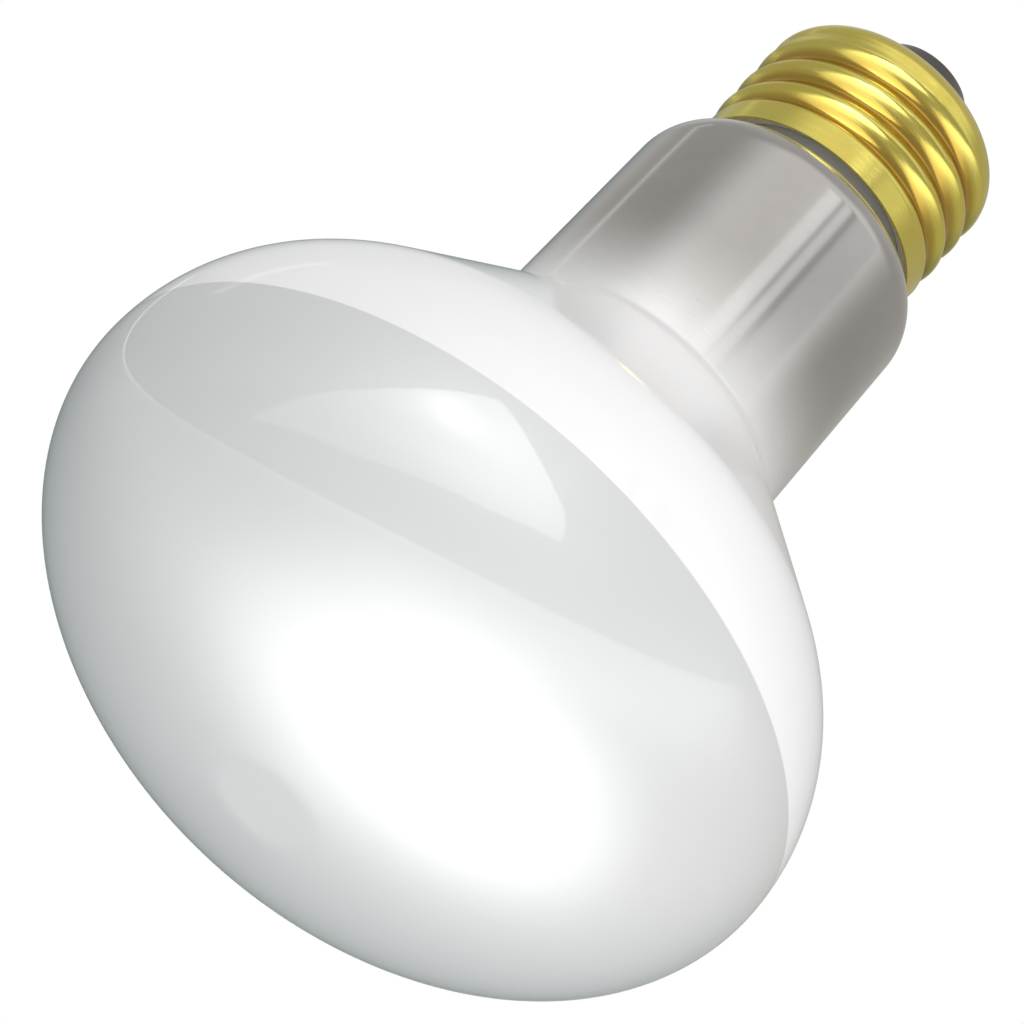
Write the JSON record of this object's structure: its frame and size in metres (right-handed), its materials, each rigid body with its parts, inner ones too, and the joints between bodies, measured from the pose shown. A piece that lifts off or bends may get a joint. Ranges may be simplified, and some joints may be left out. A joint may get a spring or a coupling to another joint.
{
  "type": "reflector bulb",
  "caption": "Reflector lamp: frosted domed glass face, mirrored back and neck, medium right-hand screw cap with a centre contact.",
  "frame": {"origin": "middle of the domed face, the lowest point, where the lamp touches a table", "axes": "+Z along the lamp's axis from the face to the cap; the solder bead at the cap's rim is on the +Y side"},
  "size_m": [0.08, 0.08, 0.1109],
  "materials": {
    "envelope_glass": "glossy outside, frosted inside on the face, mirrored inside on the back and neck, opaque to view",
    "shell_brass": "bright rolled sheet",
    "insulator_glass": "glossy black moulded glass",
    "contact_brass": "pressed sheet, tinned by the solder",
    "solder": "dull tin solder",
    "cement": "fine baked cement",
    "lead_wire": "drawn copper-clad wire"
  },
  "bodies": {
    "root": {"glass_envelope": "envelope_glass", "screw_shell": "shell_brass", "base_insulator": "insulator_glass", "centre_contact": "contact_brass", "contact_solder": "solder", "basing_cement": "cement", "centre_lead": "lead_wire", "side_lead": "lead_wire", "side_solder": "solder"}
  },
  "joints": []
}
